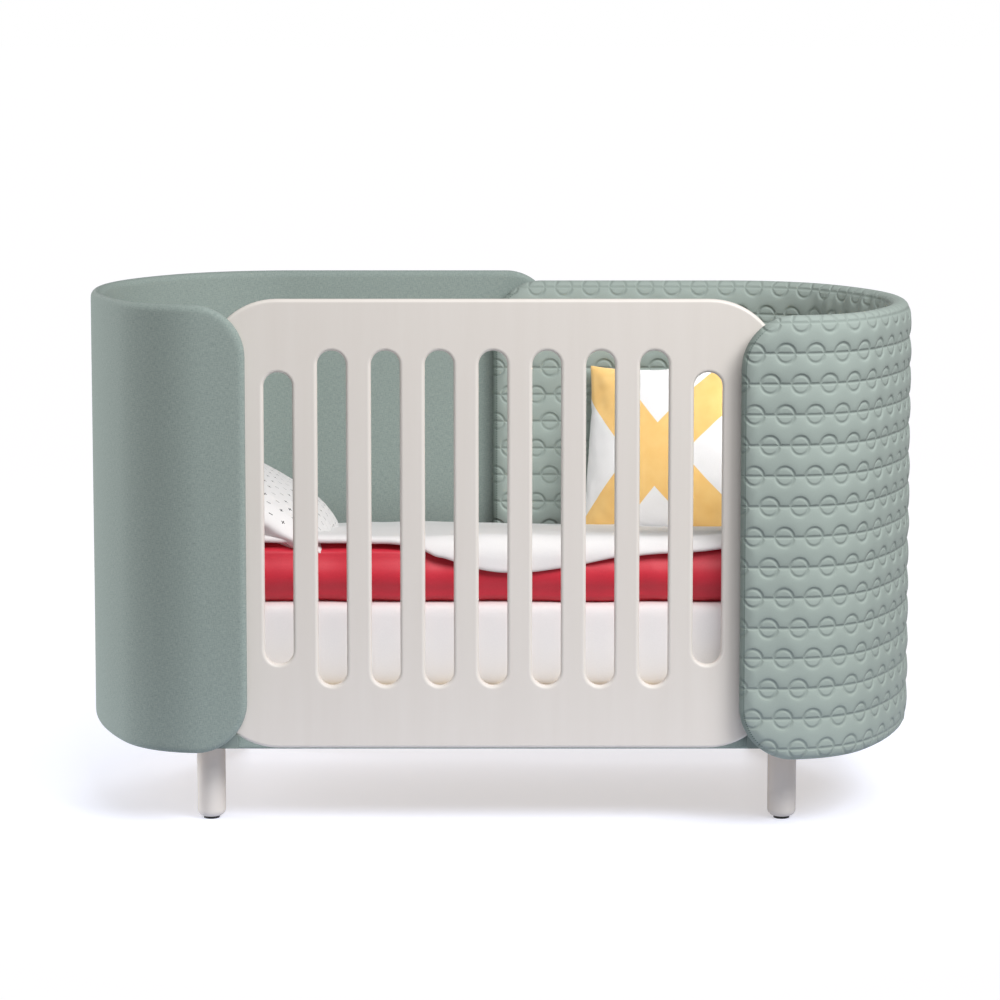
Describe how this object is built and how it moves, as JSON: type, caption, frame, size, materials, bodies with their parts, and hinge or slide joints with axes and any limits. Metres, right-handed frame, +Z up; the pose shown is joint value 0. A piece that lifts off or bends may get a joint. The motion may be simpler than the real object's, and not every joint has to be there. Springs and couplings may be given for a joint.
{
  "type": "toddler bed",
  "caption": "Oval toddler bed with two upholstered half-shells, one quilted, on round legs, and a slotted gate that lifts out of the front.",
  "frame": {"origin": "on the floor, under the middle of the bed's bounding box", "axes": "+X towards the quilted end, -Y towards the gate, +Z up"},
  "size_m": [1.48, 0.842, 0.92],
  "materials": {
    "woven_cover": "fine linen-look upholstery weave, sage green, matt",
    "quilted_cover": "quilted cotton, sage green, stitched in rows of circles",
    "padding": "upholstery foam",
    "lacquered_beech": "warm light grey satin lacquer over board or turned beech",
    "birch_plywood": "clear sealed birch plywood",
    "slat_wood": "planed birch slat, clear sealed",
    "rail_pine": "planed pine, clear sealed",
    "felt": "dark pressed felt",
    "grey_nylon": "moulded nylon, fine satin texture",
    "fitted_sheet": "white cotton fitted sheet",
    "white_cotton": "white cotton percale",
    "red_cotton": "deep red cotton sateen",
    "dotted_cotton": "white cotton with small dark crosses",
    "cross_print": "white cotton canvas with a broad yellow diagonal cross",
    "channel_aluminium": "natural anodised extrusion",
    "brushed_steel": "brushed stainless steel",
    "zinc_steel": "bright zinc plated steel"
  },
  "bodies": {
    "frame": {"back_rail": "rail_pine", "base_deck": "birch_plywood", "bracket_screws": "zinc_steel", "centre_rail": "rail_pine", "channel_screws": "zinc_steel", "front_rail": "rail_pine", "front_rail_cover": "woven_cover", "gate_channel_left": "channel_aluminium", "gate_channel_right": "channel_aluminium", "gate_rest_left": "grey_nylon", "gate_rest_right": "grey_nylon", "glide_back_left": "felt", "glide_back_right": "felt", "glide_front_left": "felt", "glide_front_right": "felt", "hanger_bolts": "zinc_steel", "lap_bolts": "brushed_steel", "lap_nuts": "brushed_steel", "lap_spacers": "brushed_steel", "left_end_board": "birch_plywood", "left_end_prop": "rail_pine", "left_end_rail": "rail_pine", "left_shell_core": "birch_plywood", "left_shell_cover": "woven_cover", "leg_back_left": "lacquered_beech", "leg_back_right": "lacquered_beech", "leg_front_left": "lacquered_beech", "leg_front_right": "lacquered_beech", "leg_plate_back_left": "zinc_steel", "leg_plate_back_right": "zinc_steel", "leg_plate_front_left": "zinc_steel", "leg_plate_front_right": "zinc_steel", "plate_screws": "zinc_steel", "quilted_cover": "quilted_cover", "rest_screws": "zinc_steel", "right_end_board": "birch_plywood", "right_end_prop": "rail_pine", "right_end_rail": "rail_pine", "right_shell_core": "birch_plywood", "right_shell_padding": "padding", "shell_brackets": "zinc_steel", "slat_1": "slat_wood", "slat_2": "slat_wood", "slat_3": "slat_wood", "slat_4": "slat_wood", "slat_5": "slat_wood", "slat_6": "slat_wood", "slat_7": "slat_wood", "slat_8": "slat_wood"},
    "gate": {"gate_panel": "lacquered_beech", "bolt_housing_left": "grey_nylon", "bolt_housing_right": "grey_nylon", "housing_screws": "zinc_steel"},
    "left_bolt": {"gate_bolt_left": "brushed_steel"},
    "right_bolt": {"gate_bolt_right": "brushed_steel"},
    "bedding": {"mattress": "fitted_sheet", "red_comforter": "red_cotton", "white_duvet": "white_cotton"},
    "pillow_body": {"pillow": "dotted_cotton"},
    "cushion_body": {"cushion": "cross_print"}
  },
  "joints": [
    {"name": "gate_lift", "type": "slide", "parent": "frame", "child": "gate", "axis": [0, 0, 1], "range_m": [0, 0.78]},
    {"name": "left_bolt_slide", "type": "slide", "parent": "gate", "child": "left_bolt", "axis": [-1, 0, 0], "range_m": [0, 0.014]},
    {"name": "right_bolt_slide", "type": "slide", "parent": "gate", "child": "right_bolt", "axis": [1, 0, 0], "range_m": [0, 0.014]},
    {"name": "bedding_lift", "type": "slide", "parent": "frame", "child": "bedding", "axis": [0, 0, 1], "range_m": [0, 0.72]},
    {"name": "pillow_lift", "type": "slide", "parent": "bedding", "child": "pillow_body", "axis": [0, 0, 1], "range_m": [0, 0.46]},
    {"name": "cushion_lift", "type": "slide", "parent": "bedding", "child": "cushion_body", "axis": [0, 0, 1], "range_m": [0, 0.48]}
  ]
}
